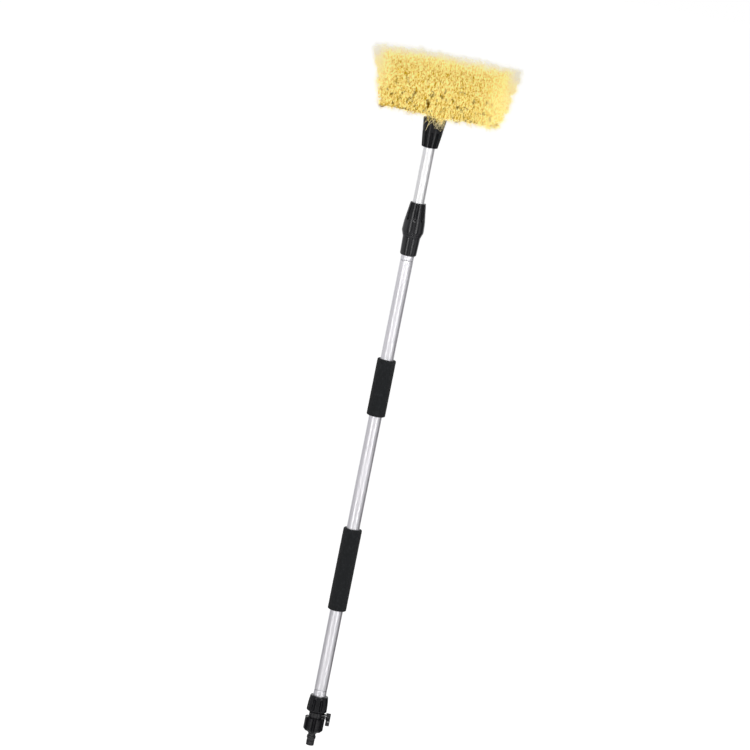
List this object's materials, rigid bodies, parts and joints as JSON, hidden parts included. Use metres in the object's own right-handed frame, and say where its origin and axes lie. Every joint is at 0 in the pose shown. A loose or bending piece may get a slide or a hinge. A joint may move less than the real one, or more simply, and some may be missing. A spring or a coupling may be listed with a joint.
{
  "type": "car wash brush",
  "caption": "Telescopic water-fed wash brush: flared bristle head on a sliding aluminium pole with a twist lock, foam grips, a lever valve and a quick hose connection.",
  "frame": {"origin": "on the pole's axis, midway between the two foam grips, where a pole clip grips the bare tube", "axes": "+Z along the pole towards the brush head, -Y the side that the bristles face, +X the valve lever"},
  "size_m": [0.2818, 0.1246, 1.3551],
  "materials": {
    "outer_aluminium": "brushed and anodised",
    "inner_aluminium": "drawn and anodised",
    "foam": "matte closed-cell foam",
    "black_plastic": "satin moulded",
    "lever_plastic": "semi-gloss moulded",
    "white_plastic": "smooth acetal",
    "seal_rubber": "smooth nitrile",
    "bumper_rubber": "soft satin",
    "yellow_bristle": "flagged soft filament",
    "screw_steel": "zinc plated",
    "valve_metal": "polished"
  },
  "bodies": {
    "outer_pole": {"outer_tube": "outer_aluminium", "lower_foam_grip": "foam", "upper_foam_grip": "foam", "lock_sleeve": "black_plastic", "lock_collet": "white_plastic", "wiper_ring": "seal_rubber", "end_plug": "white_plastic", "plug_o_rings": "seal_rubber", "plug_washer": "seal_rubber", "pole_end_adapter": "black_plastic", "valve_body": "black_plastic", "valve_seats": "white_plastic", "seat_retainer": "white_plastic", "stem_gland": "lever_plastic", "tail_washer": "seal_rubber", "hose_tail": "black_plastic", "tail_o_ring": "seal_rubber"},
    "lock_nut": {"lock_nut": "black_plastic"},
    "inner_pole": {"inner_tube": "inner_aluminium", "end_bush": "white_plastic", "piston_o_rings": "seal_rubber", "tip_fitting": "white_plastic", "tip_o_ring": "seal_rubber", "tip_rivets": "screw_steel"},
    "head_nut": {"head_nut": "black_plastic"},
    "head": {"neck_washer": "seal_rubber", "head_block": "black_plastic", "bristle_board": "black_plastic", "board_gasket": "seal_rubber", "board_screws": "screw_steel", "bumper": "bumper_rubber", "bristles": "yellow_bristle"},
    "valve_lever": {"valve_lever": "lever_plastic", "valve_stem": "valve_metal", "valve_ball": "valve_metal", "stem_o_rings": "seal_rubber", "lever_screw": "screw_steel"},
    "hose_nut": {"hose_nut": "black_plastic"}
  },
  "joints": [
    {"name": "pole_slide", "type": "slide", "parent": "outer_pole", "child": "inner_pole", "axis": [0, 0, 1], "range_m": [-0.1, 0.68]},
    {"name": "lock_twist", "type": "hinge", "parent": "outer_pole", "child": "lock_nut", "pos_m": [0, 0, 0.45825], "axis": [0, 0, 1], "range_deg": [0, 360]},
    {"name": "head_turn", "type": "hinge", "parent": "inner_pole", "child": "head", "pos_m": [0, 0, 0.6755], "axis": [0, 0, 1], "continuous": true},
    {"name": "head_nut_turn", "type": "hinge", "parent": "inner_pole", "child": "head_nut", "pos_m": [0, 0, 0.6307], "axis": [0, 0, 1], "continuous": true},
    {"name": "valve_turn", "type": "hinge", "parent": "outer_pole", "child": "valve_lever", "pos_m": [0.0198, 0, -0.4801], "axis": [1, 0, 0], "range_deg": [-90, 0]},
    {"name": "hose_nut_turn", "type": "hinge", "parent": "outer_pole", "child": "hose_nut", "pos_m": [0, 0, -0.4856], "axis": [0, 0, 1], "continuous": true}
  ]
}
